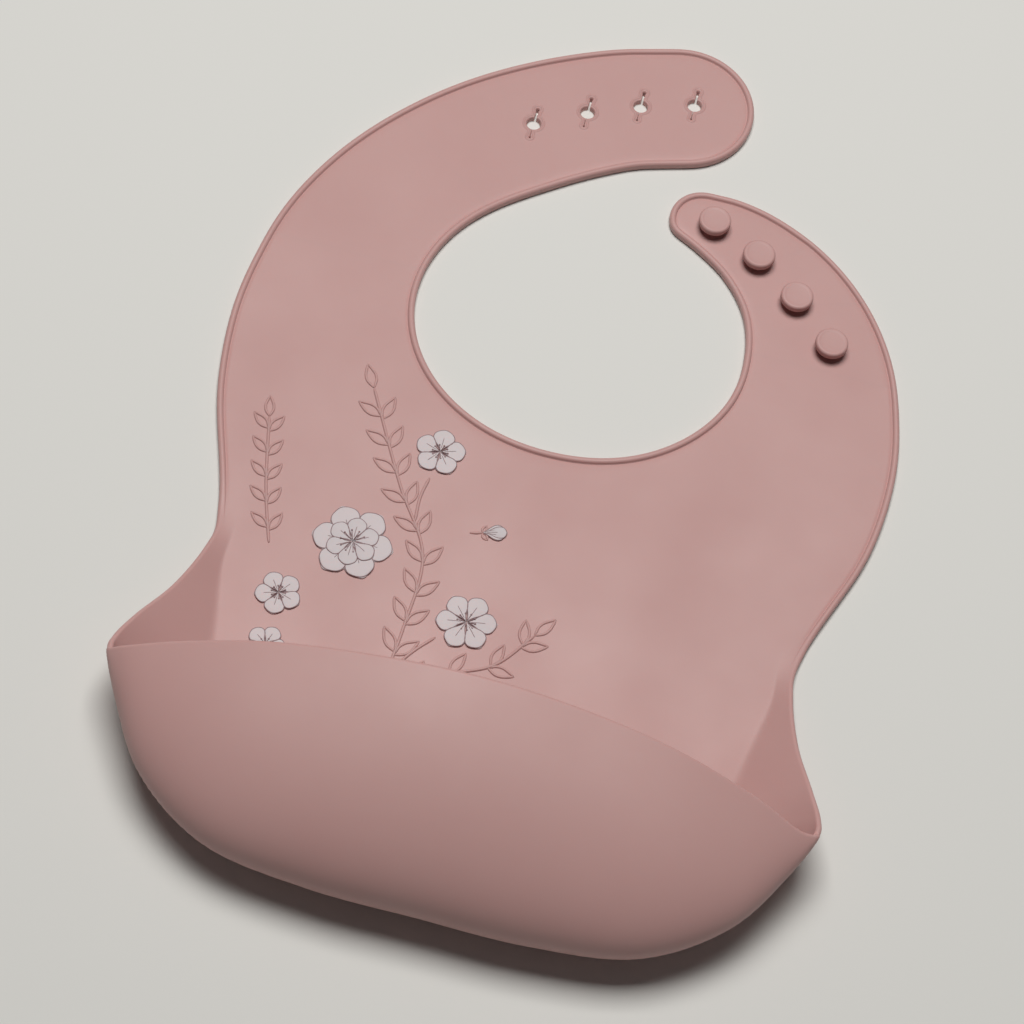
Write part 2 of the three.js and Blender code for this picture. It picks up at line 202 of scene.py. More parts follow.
def smoothed(line, reach):
    """A polyline with its kinks rounded, over a reach in points. Its ends stay."""
    pad = 3 * reach
    weights = np.exp(-0.5 * (np.arange(-pad, pad + 1) / reach) ** 2)
    weights /= weights.sum()
    start = 2 * line[0] - line[pad:0:-1]
    end = 2 * line[-1] - line[-2 : -pad - 2 : -1]
    long = np.vstack([start, line, end])
    return np.stack([np.convolve(long[:, k], weights, "valid") for k in range(line.shape[1])], -1)


def unit(vectors):
    return vectors / np.maximum(np.linalg.norm(vectors, axis=-1, keepdims=True), 1e-12)


def left_normals(line):
    along = unit(np.gradient(line, axis=0))
    return np.stack([-along[:, 1], along[:, 0]], -1)


def ease(value, low, high):
    share = np.clip((value - low) / (high - low), 0, 1)
    return share * share * (3 - 2 * share)


def lerp(a, b, share):
    return a + (b - a) * share


# ---- The outline: side, hole strap, neck, stud strap, side ---------------------------------------

OUTLINE_STEP = 0.5
ROUNDING = (4, 13)  # in steps, at the straps' round ends and elsewhere


def strap_edge(pairs):
    line = smooth_line(pairs, 40)
    return polar(NECK, line[:, 1], line[:, 0])


def outline():
    """The flat sheet's whole edge with the sheet on its left, from the left side round to the right."""
    left, right = (
        smooth_line([(strap["outer"][0][1], NECK[1]), *strap["side"]], 12)[1:] * [sign, 1]
        for sign, strap in ((-1, HOLE_STRAP), (1, STUD_STRAP))
    )
    ends = []
    for strap in (HOLE_STRAP, STUD_STRAP):
        turn = np.linspace(*strap["turn"], 60)
        ends.append(polar(strap["centre"], strap["radius"], turn))
    line = np.vstack([
        left[::-1],
        strap_edge(HOLE_STRAP["outer"]),
        ends[0],
        strap_edge(HOLE_STRAP["inner"])[::-1],
        strap_edge(NECK_EDGE)[1:-1],
        strap_edge(STUD_STRAP["inner"]),
        ends[1][::-1],
        strap_edge(STUD_STRAP["outer"])[::-1],
        right,
    ])
    line = evenly(line, OUTLINE_STEP)
    tight, wide = (smoothed(line, reach) for reach in ROUNDING)
    from_end = np.min([
        np.linalg.norm(line - strap["centre"], axis=1) - strap["radius"] for strap in (HOLE_STRAP, STUD_STRAP)
    ], axis=0)
    return lerp(tight, wide, ease(from_end, 3, 20)[:, None])


EDGE = outline()[::-1]
EDGE_ANGLE = np.degrees(np.arctan2(EDGE[:, 1] - NECK[1], EDGE[:, 0] - NECK[0]))
EDGE_RADIUS = np.linalg.norm(EDGE - NECK, axis=1)
TIPS = [
    int(np.argmin(np.linalg.norm(EDGE - polar(s["centre"], s["radius"], sum(s["turn"]) / 2), axis=1)))
    for s in (STUD_STRAP, HOLE_STRAP)
]


def edge_radius(where, degrees):
    """The outline's distance from the neck centre, on the inner edge or a strap's outer edge."""
    first, last = {"inner": TIPS, "stud": (0, TIPS[0]), "hole": (TIPS[1], len(EDGE))}[where]
    angles = np.degrees(np.unwrap(np.radians(EDGE_ANGLE[first:last])))
    order = np.argsort(angles)
    return np.interp(degrees, angles[order], EDGE_RADIUS[first:last][order])


def side_edge(x_sign, heights):
    """The outline's x at heights down one side of the chest."""
    low, high = (0, TIPS[0]) if x_sign > 0 else (TIPS[1], len(EDGE))
    part = EDGE[low:high]
    part = part[part[:, 1] < NECK[1] + 12]
    order = np.argsort(part[:, 1])
    return np.interp(heights, part[order, 1], part[order, 0])


# ---- The sheet's faces ---------------------------------------------------------------------------


def swell(x, y):
    """How far the relaxed chest panel lifts off what it lies on."""
    on_panel = ease(y, -130, -96) * (1 - ease(y, -8, 36)) * (1 - ease(np.abs(x), 34, 64))
    hump = 1.3 * np.exp(-(((x - 26) / 34) ** 2 + ((y + 42) / 36) ** 2))
    ripple = 0.55 + 0.4 * np.sin(x / 24 + 0.7) * np.sin(y / 30 - 0.4)
    return on_panel * (hump + ripple)


def front_height(x, y):
    return SHEET + swell(x, y)


def half_round(depth, radius):
    return radius * np.sqrt(np.clip(1 - (1 - np.minimum(depth / radius, 1)) ** 2, 0.003, 1))


def edge_top(depth, bead):
    """Height of the front face at a depth in from the edge. bead is 0 for a plain round rim."""
    cord = CREST - CORD + np.sqrt(np.clip(CORD**2 - (CORD - depth) ** 2, 0, None))
    groove = SHEET - GROOVE_DEPTH * (1 - ease(depth, GROOVE_AT, GROOVE_END))
    beaded = np.where(depth < GROOVE_AT, cord, groove)
    return MID + half_round(depth, MID) * (1 - bead) + (beaded - MID) * bead


def edge_bottom(depth, bead):
    round_over = UNDER_ROUND - half_round(depth, UNDER_ROUND)
    return (MID - half_round(depth, MID)) * (1 - bead) + round_over * bead


# ---- Meshes --------------------------------------------------------------------------------------


def mesh_object(name, vertices, faces, materials, sharp=(), slots=None):
    mesh = bpy.data.meshes.new(name)
    mesh.from_pydata((np.asarray(vertices, float) * MM).tolist(), [], [list(f) for f in faces])
    for material in materials:
        mesh.materials.append(material)
    if slots is not None:
        mesh.polygons.foreach_set("material_index", np.asarray(slots, np.int32))
    mesh.polygons.foreach_set("use_smooth", np.ones(len(mesh.polygons), bool))
    if len(sharp):
        wanted = {tuple(sorted(map(int, pair))) for pair in sharp}
        for edge in mesh.edges:
            if tuple(sorted(edge.vertices)) in wanted:
                edge.use_edge_sharp = True
    mesh.update()
    thing = bpy.data.objects.new(name, mesh)
    bpy.context.scene.collection.objects.link(thing)
    return thing


def layered(name, top, bottom, faces, is_cut, material):
    """A closed sheet from its two faces. Edges along a cut are sharp, so that no seam shows."""
    count = len(top)
    faces = [tuple(int(v) for v in face) for face in faces]
    used = {(a, b) for face in faces for a, b in zip(face, face[1:] + face[:1])}
    walls = []
    sharp = []
    for a, b in sorted(used):
        if (b, a) in used:
            continue
        walls.append((b, a, a + count, b + count))
        if is_cut[a] and is_cut[b]:
            sharp += [(a, b), (a + count, b + count)]
    under = [tuple(v + count for v in reversed(face)) for face in faces]
    return mesh_object(name, np.vstack([top, bottom]), faces + under + walls, [material], sharp)


def grid_faces(rows, columns):
    index = np.arange(rows * columns).reshape(rows, columns)
    corners = (index[:-1, :-1], index[1:, :-1], index[1:, 1:], index[:-1, 1:])
    return np.stack([c.ravel() for c in corners], -1)


def sheet_grid(name, middle_surface, depth, bead, ends_cut, material):
    """A sheet of the moulded section about a grid of middle points, [row, column, xyz]."""
    rows, columns, _ = middle_surface.shape
    along = np.gradient(middle_surface, axis=0)
    across = np.gradient(middle_surface, axis=1)
    normal = unit(np.cross(across, along))
    top = middle_surface + normal * (edge_top(depth, bead) - MID)[..., None]
    bottom = middle_surface - normal * (MID - edge_bottom(depth, bead))[..., None]
    is_cut = np.zeros((rows, columns), bool)
    if ends_cut:
        is_cut[[0, -1]] = True
    faces = grid_faces(rows, columns)[:, ::-1]
    return layered(name, top.reshape(-1, 3), bottom.reshape(-1, 3), faces, is_cut.ravel(), material)


# ---- Chest panel and pocket: one moulding --------------------------------------------------------

PANEL_COLUMNS = 92
POCKET_DENSITY = 1.7  # columns in the pocket for each on the flat
SECTION_SHARES = np.linspace(0, 1, 28)


def both_sides(points, shifts):
    """Station points from the left foot to the right one, with the left side's own shifts."""
    right = np.array(points, float)
    left = right.copy()
    for number, shift in shifts.items():
        left[number] += shift
    left[:, 0] *= -1
    return np.vstack([left, right[-2::-1]])


def body_rows():
    """Each row's root, belly and lip, its station number from the nearer foot, and its side."""
    stations = SIDE + FRONT
    numbers = np.concatenate([
        k + np.arange(station[-1]) / station[-1] for k, station in enumerate(stations) if station[-1]
    ])
    last = len(stations) - 1
    numbers = np.concatenate([numbers, [last], (2 * last - numbers)[::-1]])
    root = through(both_sides([s[0] for s in stations], {}), numbers)
    belly = through(both_sides([s[1] for s in stations], LEFT_RIM), numbers)
    lip = through(both_sides([s[-2] for s in stations], LEFT_LIP), numbers)
    return numbers, np.minimum(numbers, 2 * last - numbers), root, belly, lip


def flank(share):
    """A wing's rise over its width: a short bend, then straight."""
    straight = 1 - WING_BEND / 2
    bend = share**2 / (2 * WING_BEND * straight)
    return np.where(share > WING_BEND, (share - WING_BEND / 2) / straight, bend)


def pocket_section(number, root, belly, lip):
    """The middle of the sheet from the root round the belly to the lip."""
    roundness = ease(number - WAIST_STATION, 2.2, 6)
    angle = SECTION_SHARES * math.pi / 2
    out = lerp(SECTION_SHARES, np.sin(angle), roundness)[:, None]
    up = lerp(flank(SECTION_SHARES), 1 - np.cos(angle), roundness)
    flat = lerp(root, belly[:2], out)
    lower = np.column_stack([flat, lerp(MID, belly[2], up)])
    angle = SECTION_SHARES[1:] * LIP_ARC
    back = ((1 - np.cos(angle)) / (1 - math.cos(LIP_ARC)))[:, None]
    up = np.sin(angle) / math.sin(LIP_ARC)
    upper = np.column_stack([lerp(belly[:2], lip[:2], back), lerp(belly[2], lip[2], up)])
    return np.vstack([lower, upper])


def bib_body(material):
    numbers, from_foot, root, belly, lip = body_rows()
    rows = []
    beads = []
    for i, number in enumerate(from_foot):
        left = numbers[i] < len(SIDE) + len(FRONT) - 1
        rim = belly[i].copy()
        if number < CORNER_STATION and rim[1] > -58:
            on_outline = side_edge(-1 if left else 1, rim[1])
            rim[0] = lerp(rim[0], on_outline, ease(rim[1], -58, -45))
        low_lip = rim if number <= CORNER_STATION else lip[i]
        base = root[i]
        heading = unit(base - NECK)
        degrees = math.degrees(math.atan2(heading[1], heading[0]))
        if number == 0:
            degrees = -180.0 if left else 0.0
            heading = np.array([-1.0 if left else 1.0, 0.0])
        start = NECK + heading * edge_radius("inner", degrees)
        section = pocket_section(number, base, rim, low_lip)
        line = np.vstack([[*start, MID], section])
        along = lengths_along(line)
        flat = along[1]
        total = along[-1]
        dense = np.linspace(DEPTHS[-1], total - DEPTHS[-1], 400)
        weight = 1 + (POCKET_DENSITY - 1) * ease(dense, flat - 6, flat + 6)
        gathered = np.concatenate([[0], np.cumsum((weight[1:] + weight[:-1]) / 2)])
        inner = np.interp(np.linspace(0, gathered[-1], PANEL_COLUMNS), gathered, dense)
        places = np.concatenate([DEPTHS[:-1], inner, total - DEPTHS[-2::-1]])
        row = resample(line, places)
        on_flat = ease(flat - places, 0, 10)
        row[:, 2] += swell(row[:, 0], row[:, 1]) * on_flat
        depth = np.minimum(places, total - places)
        from_rim = places > total / 2
        side_bead = ease(rim[1], *BEAD_FADE) if number < CORNER_STATION else 0.0
        rows.append(np.column_stack([row, depth]))
        beads.append(np.where(from_rim, side_bead, 1.0))
    grid = np.array(rows)
    return sheet_grid("bib_body", grid[..., :3], grid[..., 3], np.array(beads), True, material)


# ---- Straps --------------------------------------------------------------------------------------


def strap_band(name, which, first, last, material):
    """A stretch of strap between two lines out from the neck centre."""
    count = int(abs(last - first) * 1.25) + 1
    columns = 26
    rows = []
    for degrees in np.linspace(first, last, count):
        inner = edge_radius("inner", degrees - 360 if which == "hole" else degrees)
        outer = edge_radius(which, degrees)
        between = np.linspace(inner + DEPTHS[-1], outer - DEPTHS[-1], columns)
        radii = np.concatenate([inner + DEPTHS[:-1], between, outer - DEPTHS[-2::-1]])
        flat = polar(NECK, radii, degrees)
        depth = np.minimum(radii - inner, outer - radii)
        rows.append(np.column_stack([flat, np.full(len(radii), MID), depth]))
    grid = np.array(rows)
    if last < first:
        grid = grid[::-1]
    return sheet_grid(name, grid[..., :3], grid[..., 3], np.ones(grid.shape[:2]), True, material)


KEY = {"radius": 2.35, "reach": 5.5, "open": 0.36, "open_dot": 0.62, "shut": 0.05, "shut_dot": 0.3}
KEY_TAPER = 0.9  # a keyhole's size at the back face, as a share of its size in front
RIDGE = {"at": 0.85, "half": 0.34, "height": 0.3}
LIP_ROUND = 0.3
LIP_DROP = 0.14


def keyhole_outline(centre):
    """A hole with an open slit above and a nearly shut one below, each ending in a dot."""
    def side(slit, dot, sign):
        meet = math.sqrt(KEY["radius"] ** 2 - slit**2)
        foot = math.sqrt(dot**2 - slit**2)
        turn = math.atan2(-foot, slit)
        run = np.linspace(meet, KEY["reach"] - foot, 14)[:-1]
        angles = np.linspace(turn, math.pi - turn, 15)
        points = [(slit, y) for y in run]
        points += [(dot * math.cos(a), KEY["reach"] + dot * math.sin(a)) for a in angles]
        points += [(-slit, y) for y in run[::-1]]
        return np.array(points) * sign

    def arc_between(first, last):
        angles = np.linspace(first, last, 24)[1:-1]
        return KEY["radius"] * np.stack([np.cos(angles), np.sin(angles)], -1)

    up = math.asin(KEY["open"] / KEY["radius"])
    down = math.asin(KEY["shut"] / KEY["radius"])
    quarter = math.pi / 2
    pieces = [
        side(KEY["open"], KEY["open_dot"], 1),
        arc_between(quarter + up, 3 * quarter - down),
        side(KEY["shut"], KEY["shut_dot"], -1),
        arc_between(3 * quarter + down, 5 * quarter - up),
    ]
    return np.vstack(pieces) + centre


def nearest(points, targets):
    """Distance from each point to the nearest target."""
    best = np.full(len(points), np.inf)
    for target in targets:
        best = np.minimum(best, ((points - target) ** 2).sum(1))
    return np.sqrt(best)


def inside(points, polygon):
    result = np.zeros(len(points), bool)
    x, y = points[:, 0], points[:, 1]
    for (x0, y0), (x1, y1) in zip(polygon, np.roll(polygon, -1, axis=0)):
        crosses = (y0 > y) != (y1 > y)
        at = x0 + (y - y0) * (x1 - x0) / np.where(y1 == y0, 1e-9, y1 - y0)
        result ^= crosses & (x < at)
    return result


def hexagonal(low, high, spacing):
    rows = []
    for number, y in enumerate(np.arange(low[1], high[1], spacing * math.sqrt(3) / 2)):
        across = np.arange(low[0] + (number % 2) * spacing / 2, high[0], spacing)
        rows.append(np.column_stack([across, np.full(len(across), y)]))
    return np.vstack(rows)


def keyhole_height(points, holes):
    """Front face height near the keyholes: a thin raised outline round each, and a rounded lip."""
    gap = nearest(points, np.vstack(holes))
    ridge = RIDGE["height"] * np.clip(1 - ((gap - RIDGE["at"]) / RIDGE["half"]) ** 2, 0, 1) ** 1.5
    lip = LIP_DROP * np.clip(1 - gap / LIP_ROUND, 0, 1) ** 2
    return SHEET + ridge - lip


def fill_points(polygon, holes):
    """Points inside the flat middle of a strap's end, close together round the keyholes."""
    low, high = polygon.min(0), polygon.max(0)
    coarse = hexagonal(low, high, 2.0)
    if not holes:
        kept = coarse
    else:
        edges = np.vstack(holes)
        kept = [coarse[nearest(coarse, edges) > 4.2]]
        for hole in holes:
            for spacing, least, most in ((0.75, 2.0, 4.0), (0.24, 0.16, 1.9)):
                fine = hexagonal(hole.min(0) - 5, hole.max(0) + 5, spacing)
                gap = nearest(fine, hole)
                kept.append(fine[(gap > least) & (gap < most) & ~inside(fine, hole)])
        kept = np.vstack(kept)
    border = np.vstack([polygon, (polygon + np.roll(polygon, -1, axis=0)) / 2])
    return kept[inside(kept, polygon) & (nearest(kept, border) > 0.9)]


def strap_end(name, strap, which, holes, material):
    """A strap's round end past its last cut, as rings in from the edge round a filled middle."""
    cut = strap["cuts"][-1]
    angle = np.degrees(np.unwrap(np.radians(EDGE_ANGLE)))
    inner = edge_radius("inner", cut if which == "stud" else cut - 360)
    outer = edge_radius(which, cut)
    if which == "stud":
        tip = TIPS[0]
        before_cut = angle < cut
        ends = (outer, inner)
    else:
        tip = TIPS[1]
        before_cut = angle > cut - 360
        ends = (inner, outer)
    first = np.nonzero(before_cut[:tip])[0][-1]
    last = tip + np.nonzero(before_cut[tip:])[0][0]
    line = EDGE[first : last + 1].copy()
    line[0] = polar(NECK, ends[0], cut)
    line[-1] = polar(NECK, ends[1], cut)
    line = evenly(line, 1.1)
    radial = polar((0, 0), 1.0, cut) * (1 if inner < outer and ends[0] == inner else -1)
    along = lengths_along(line)
    normals = left_normals(line)
    start = (1 - ease(along, 0, 9))[:, None]
    end = (1 - ease(along[-1] - along, 0, 9))[:, None]
    normals = unit(normals * (1 - start - end) + radial * start - radial * end)
    rings = line[:, None, :] + normals[:, None, :] * DEPTHS[None, :, None]
    border = rings[:, -1]
    seam = lerp(border[-1], border[0], np.linspace(0, 1, 26)[1:-1, None])
    polygon = np.vstack([border, seam])
    filled = fill_points(polygon, holes)
    flat = np.vstack([polygon, *holes, filled])
    loops = []
    base = 0
    for loop in (polygon, *holes):
        count = len(loop)
        loops += [(base + k, base + (k + 1) % count) for k in range(count)]
        base += count
    made = delaunay_2d_cdt([Vector(p) for p in flat], loops, [], 0, 1e-5, True)
    _, _, triangles, origins, _, _ = made
    triangles = np.array([[origins[v][0] for v in face] for face in triangles])
    corners = flat[triangles]
    centres = corners.mean(1)
    (ax, ay), (bx, by) = (corners[:, 1] - corners[:, 0]).T, (corners[:, 2] - corners[:, 0]).T
    keep = inside(centres, polygon) & (np.abs(ax * by - ay * bx) > 0.002)
    for hole in holes:
        keep &= ~inside(centres, hole)
    triangles = triangles[keep]
    ring_count = rings.shape[0] * rings.shape[1]
    place = np.concatenate([
        np.arange(len(border)) * rings.shape[1] + rings.shape[1] - 1,
        ring_count + np.arange(len(flat) - len(border)),
    ])
    faces = [tuple(f) for f in grid_faces(*rings.shape[:2])] + [tuple(f) for f in place[triangles]]
    rest = flat[len(border) :]
    height = keyhole_height(rest, holes) if holes else np.full(len(rest), SHEET)
    deep = np.tile(DEPTHS, len(line))
    top = np.column_stack([
        np.vstack([rings.reshape(-1, 2), rest]),
        np.concatenate([edge_top(deep, 1.0), height]),
    ])
    bottom = top.copy()
    bottom[:, 2] = np.concatenate([edge_bottom(deep, 1.0), np.zeros(len(rest))])
    base = ring_count + len(seam)
    for hole in holes:
        heart = (hole.max(0) + hole.min(0)) / 2
        bottom[base : base + len(hole), :2] = heart + (hole - heart) * KEY_TAPER
        base += len(hole)
    is_cut = np.zeros(len(top), bool)
    is_cut[: rings.shape[1]] = True
    is_cut[ring_count - rings.shape[1] : ring_count + len(seam)] = True
    return layered(name, top, bottom, faces, is_cut, material)


def blend_at(piece):
    """Bakes a strap piece's placement into its vertices."""
    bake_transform(piece)


def strap_pieces(strap, which, holes, material):
    names = strap["bodies"][1:]
    for k, body in enumerate(names):
        if k < len(names) - 1:
            piece = strap_band(body + "_skin", which, *strap["cuts"][k : k + 2], material)
        else:
            piece = strap_end(body + "_skin", strap, which, holes, material)
        blend_at(piece)
        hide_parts(body)


# ---- Studs ---------------------------------------------------------------------------------------

STUD_SEGMENTS = 96
CAP = 2.4  # a cap's thickness
STEM_RADIUS = 2.5
FOOT_ROUND = 0.6  # radii of the rounded foot, the cap's underside and its shoulder
BELLY_ROUND = 0.55
SHOULDER_ROUND = 0.8
DISH = 0.12  # the depth of the dish in a cap
DISH_SLOPE = [(1.0, 0.01), (1.2, 0.05), (1.45, 0.1), (1.65, DISH)]  # how far in from the rim, how deep
FOOT_SINK = 0.05  # how far the foot reaches into the strap


def stud(name, material):
    """A mushroom stud: stem, flat cap, and a faint rim round a plain shallow dish."""
    centre = middle(name)
    low, high = box_mm(name)
    cap = (high[0] - low[0]) / 2
    base, top = low[2], high[2]
    under = top - CAP
    turns = np.radians(np.linspace(0, 90, 9))

    def quarter_round(start, radius, along, up):
        return [(start[0] + radius * f, start[1] + radius * g) for f, g in zip(along(turns), up(turns))]

    foot = STEM_RADIUS + FOOT_ROUND
    fillet = quarter_round(
        (foot, base + FOOT_ROUND), FOOT_ROUND, lambda a: -np.sin(a), lambda a: -np.cos(a))[::2]
    belly = quarter_round(
        (cap - BELLY_ROUND, under + BELLY_ROUND), BELLY_ROUND, np.sin, lambda a: -np.cos(a))
    shoulder = quarter_round(
        (cap - SHOULDER_ROUND, top - SHOULDER_ROUND), SHOULDER_ROUND, np.cos, np.sin)
    round_rings = [(foot + 0.05, base - FOOT_SINK), *fillet]
    round_rings += [(STEM_RADIUS, under - 0.1), (STEM_RADIUS + 0.12, under), *belly, *shoulder]
    round_rings += [(cap - inward, top - deep) for inward, deep in DISH_SLOPE] + [(1.0, top - DISH)]
    degrees = np.arange(STUD_SEGMENTS) * 360 / STUD_SEGMENTS
    rings = [np.column_stack([polar((0, 0), r, degrees), np.full(len(degrees), z)]) for r, z in round_rings]
    points = np.vstack(rings) + [centre[0], centre[1], 0]
    count = len(rings)
    faces = []
    for k in range(count - 1):
        for j in range(STUD_SEGMENTS):
            a = k * STUD_SEGMENTS + j
            b = k * STUD_SEGMENTS + (j + 1) % STUD_SEGMENTS
            faces.append((a, b, b + STUD_SEGMENTS, a + STUD_SEGMENTS))
    points = np.vstack([points, [centre[0], centre[1], base - FOOT_SINK], [centre[0], centre[1], top - DISH]])
    bottom, crown = len(points) - 2, len(points) - 1
    last = (count - 1) * STUD_SEGMENTS
    for j in range(STUD_SEGMENTS):
        after = (j + 1) % STUD_SEGMENTS
        faces.append((bottom, after, j))
        faces.append((crown, last + j, last + after))
    piece = mesh_object(name + "_skin", points, faces, [material])
    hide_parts(name)
    return piece


# ---- Raised decoration ---------------------------------------------------------------------------


class Relief:
    """Collects the closed shapes of one raised motif into one mesh."""

    def __init__(self):
        self.vertices = []
        self.faces = []
        self.slots = []

    def add(self, points, faces, slot=0):
        base = len(self.vertices)
        self.vertices += [tuple(p) for p in points]
        self.faces += [tuple(base + int(v) for v in face) for face in faces]
        self.slots += [slot] * len(faces)

    def rib(self, points, width, height, base=None, slot=0, ends=(0.35, 0.35), step=0.45):
        """A half-round rib along a smooth line. Its ends narrow to a share of its width."""
        line = evenly(smooth_line(points, 8), step)
        along = lengths_along(line)
        share = np.sqrt(np.clip(np.minimum(along, along[-1] - along) / (1.6 * width), 0, 1))
        narrow = np.where(along < along[-1] / 2, ends[0], ends[1])
        size = narrow + (1 - narrow) * share
        level = front_height(line[:, 0], line[:, 1]) if base is None else np.interp(
            along, np.linspace(0, along[-1], len(base)), base)
        normal = left_normals(line)
        angles = np.radians([0, 28, 60, 90, 120, 152, 180])
        section = [(math.cos(a), math.sin(a)) for a in angles] + [(-1, -0.4), (1, -0.4)]
        rings = []
        for across, up in section:
            flat = line + normal * (across * width / 2 * size)[:, None]
            rings.append(np.column_stack([flat, level + up * height * size]))
        grid = np.stack(rings, 1)
        rows, columns, _ = grid.shape
        index = np.arange(rows * columns).reshape(rows, columns)
        after = np.roll(index, -1, axis=1)
        faces = [
            (index[i, j], index[i + 1, j], after[i + 1, j], after[i, j])
            for i in range(rows - 1) for j in range(columns)
        ]
        faces += [tuple(index[0]), tuple(index[-1][::-1])]
        self.add(grid.reshape(-1, 3), faces, slot)

    def slab(self, grid, thickness, slot=0):
        """A closed piece from a grid of front points, down to a flat back."""
        rows, columns, _ = grid.shape
        count = rows * columns
        back = grid - [0, 0, thickness]
        index = np.arange(count).reshape(rows, columns)
        faces = [tuple(f) for f in grid_faces(rows, columns)]
        under = [tuple(v + count for v in f[::-1]) for f in faces]
        rim = [*index[0, :-1], *index[:-1, -1], *index[-1, :0:-1], *index[:0:-1, 0]]
        walls = [(a, b, b + count, a + count) for a, b in zip(rim, rim[1:] + rim[:1])]
        self.add(np.vstack([grid.reshape(-1, 3), back.reshape(-1, 3)]), faces + under + walls, slot)

    def dome(self, centre, radius, height, base=None, slot=0):
        """A low round dot."""
        turn = np.arange(16) * math.pi / 8
        level = front_height(*centre) if base is None else base
        rings = []
        for tilt in np.radians([0, 25, 50, 72]):
            flat = radius * math.cos(tilt)
            up = height * math.sin(tilt)
            rings.append(np.column_stack([
                centre[0] + flat * np.cos(turn), centre[1] + flat * np.sin(turn), np.full(16, level + up)]))
        rings.insert(0, rings[0] - [0, 0, 0.15])
        points = np.vstack(rings + [[[*centre, level - 0.15]], [[*centre, level + height]]])
        faces = []
        for k in range(len(rings) - 1):
            for j in range(16):
                a, b = k * 16 + j, k * 16 + (j + 1) % 16
                faces.append((a, b, b + 16, a + 16))
        foot, crown = len(points) - 2, len(points) - 1
        last = (len(rings) - 1) * 16
        for j in range(16):
            faces.append((foot, (j + 1) % 16, j))
            faces.append((crown, last + j, last + (j + 1) % 16))
        self.add(points, faces, slot)

    def made(self, name, materials):
        return mesh_object(name, self.vertices, self.faces, materials, slots=self.slots)


STEM = (0.95, 0.5)  # a stem's width and height
VEIN = (0.85, 0.42)  # a leaf's outline


def leaf(relief, root, tip, bow, lean=0.0, size=VEIN):
    """A leaf drawn as its two curved edges. bow is half its width, and lean bends it sideways."""
    root, tip = np.array(root, float), np.array(tip, float)
    way = tip - root
    side = np.array([-way[1], way[0]]) / np.linalg.norm(way)
    shares = np.array([0, 0.12, 0.32, 0.55, 0.78, 1.0])
    middle_line = root + shares[:, None] * way + (np.sin(shares * math.pi) * lean)[:, None] * side
    half = bow * np.array([0, 0.38, 0.95, 1.0, 0.55, 0])
    for sign in (1, -1):
        relief.rib(middle_line + (sign * half)[:, None] * side, *size)


# Plain sprigs: a stem with leaves in even pairs, twigs off it, and the length of a leaf.
SPRIGS = {
    "sprig_tall": {
        "stem": [(-27, -90), (-25.5, -70), (-26, -46), (-38, -26), (-54, 4)], "pairs": 9, "leaf": 8.5,
        "twigs": [[(-26, -84), (-21, -76), (-16, -70)], [(-31, -36), (-31.5, -28), (-30.5, -21)]],
    },
    "sprig_left": {"stem": [(-69.5, -54), (-75, -38), (-81, -14)], "pairs": 5, "leaf": 7, "twigs": []},
    "sprig_right": {
        "stem": [(-25, -88), (-10, -80), (2, -74), (11, -62)], "pairs": 4, "leaf": 8, "twigs": [],
    },
}
LEAF_TURN = 40  # degrees between a leaf and its stem
LEAF_BOW = 0.17  # half a leaf's width, as a share of its length


def sprig(name, material):
    relief = Relief()
    plan = SPRIGS[name]
    for points in (plan["stem"], *plan["twigs"]):
        relief.rib(points, *STEM)
    line = evenly(smooth_line(plan["stem"]), 0.5)
    headings = np.degrees(np.arctan2(*np.gradient(line, axis=0).T[::-1]))
    places = np.linspace(0.12, 0.9, plan["pairs"]) * (len(line) - 1)
    for place in places.astype(int):
        for side in (-1, 1):
            root = line[min(place + side, len(line) - 1)]
            tip = polar(root, plan["leaf"], headings[place] + side * LEAF_TURN)
            leaf(relief, root, tip, LEAF_BOW * plan["leaf"])
    leaf(relief, line[-1], polar(line[-1], plan["leaf"], headings[-1]), LEAF_BOW * plan["leaf"])
    return relief.made(name + "_ribs", [material])


PETAL_ROWS = 18
PETAL_COLUMNS = 19
PETAL_LIFT = 0.42
LEVEL_STEP = 0.1  # how far each level of a flower stands above the one below
LINE = (0.26, 0.13)  # the thin dark line round a petal and along its veins


